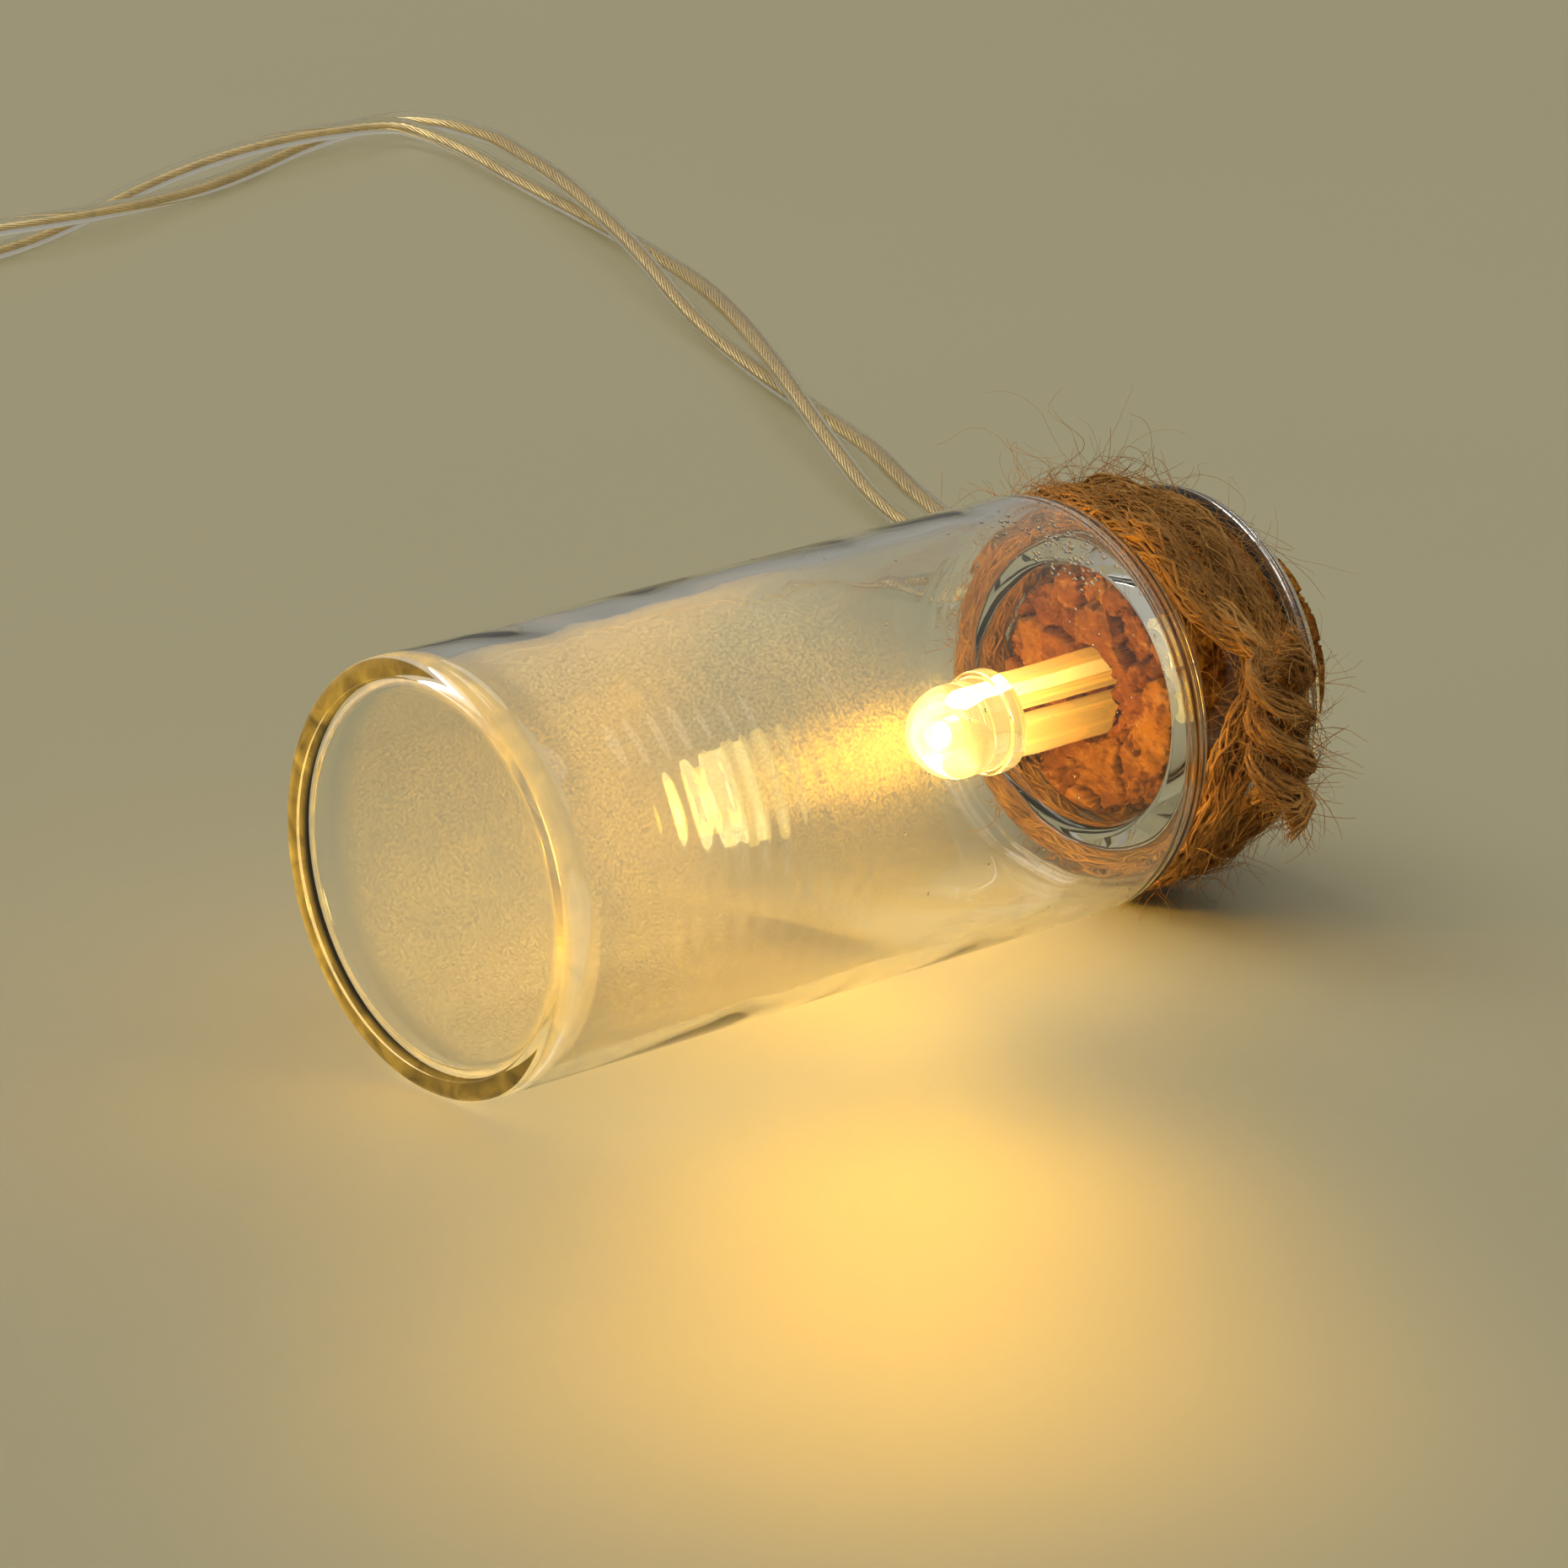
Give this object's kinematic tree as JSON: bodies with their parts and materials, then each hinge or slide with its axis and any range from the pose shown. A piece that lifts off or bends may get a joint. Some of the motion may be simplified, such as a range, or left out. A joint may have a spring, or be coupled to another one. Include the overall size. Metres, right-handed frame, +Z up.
{
  "type": "fairy light jar",
  "caption": "Small glass jar closed by a cork, with an LED on a twisted two-wire lead inside it, twine tied round the neck, and a battery box with a sliding lid and a switch.",
  "frame": {"origin": "on the table, under the middle of the corked jar and its twine (bottom centre of their box)", "axes": "+X along the jar from its base to its cork, +Z up from the table it lies on, +Y away from the knot"},
  "size_m": [0.1888, 0.1669, 0.0219],
  "materials": {
    "clear_glass": "clear, moulded",
    "cork": "bare cork, granular, with pits",
    "clear_epoxy": "clear, warm where lit",
    "tinned_steel": "bright tinned",
    "clear_sleeve": "clear, smooth",
    "clear_insulation": "clear soft insulation over copper",
    "jute": "twisted natural fibre, hairy",
    "white_tie": "matt",
    "white_plastic": "fine matt grain",
    "cell_wrapper": "plain dark wrapper",
    "nickel_strip": "nickel plated",
    "grey_rubber": "matt",
    "black_plastic": "satin",
    "red_insulation": "smooth",
    "resistor_lacquer": "lacquered"
  },
  "bodies": {
    "cork_lead_and_box": {"battery_case": "white_plastic", "bridge_plate": "nickel_strip", "cell_a": "cell_wrapper", "cell_b": "cell_wrapper", "coil_tie_far": "white_tie", "coil_tie_near": "white_tie", "cork_stopper": "cork", "led_anvil": "tinned_steel", "led_lens": "clear_epoxy", "led_post": "tinned_steel", "negative_plate": "nickel_strip", "positive_plate": "nickel_strip", "resistor": "resistor_lacquer", "sleeve_lower": "clear_sleeve", "sleeve_upper": "clear_sleeve", "spring_a": "tinned_steel", "spring_b": "tinned_steel", "strain_relief": "grey_rubber", "switch_body": "black_plastic", "switch_link": "red_insulation", "switch_pin_a": "tinned_steel", "switch_pin_b": "tinned_steel", "switch_pin_c": "tinned_steel", "wire_coil_a": "clear_insulation", "wire_coil_b": "clear_insulation", "wire_run_a": "clear_insulation", "wire_run_b": "clear_insulation", "wire_tail_a": "clear_insulation", "wire_tail_b": "clear_insulation"},
    "jar": {"glass_jar": "clear_glass", "twine_wrap": "jute"},
    "box_lid": {"battery_door": "white_plastic"},
    "knob": {"switch_knob": "black_plastic"}
  },
  "joints": [
    {"name": "jar_pull", "type": "slide", "parent": "cork_lead_and_box", "child": "jar", "axis": [-1, 0, 0], "range_m": [0, 0.025]},
    {"name": "lid_slide", "type": "slide", "parent": "cork_lead_and_box", "child": "box_lid", "axis": [-1, 0, 0], "range_m": [0, 0.055]},
    {"name": "switch_slide", "type": "slide", "parent": "cork_lead_and_box", "child": "knob", "axis": [0, 1, 0], "range_m": [0, 0.003]}
  ]
}
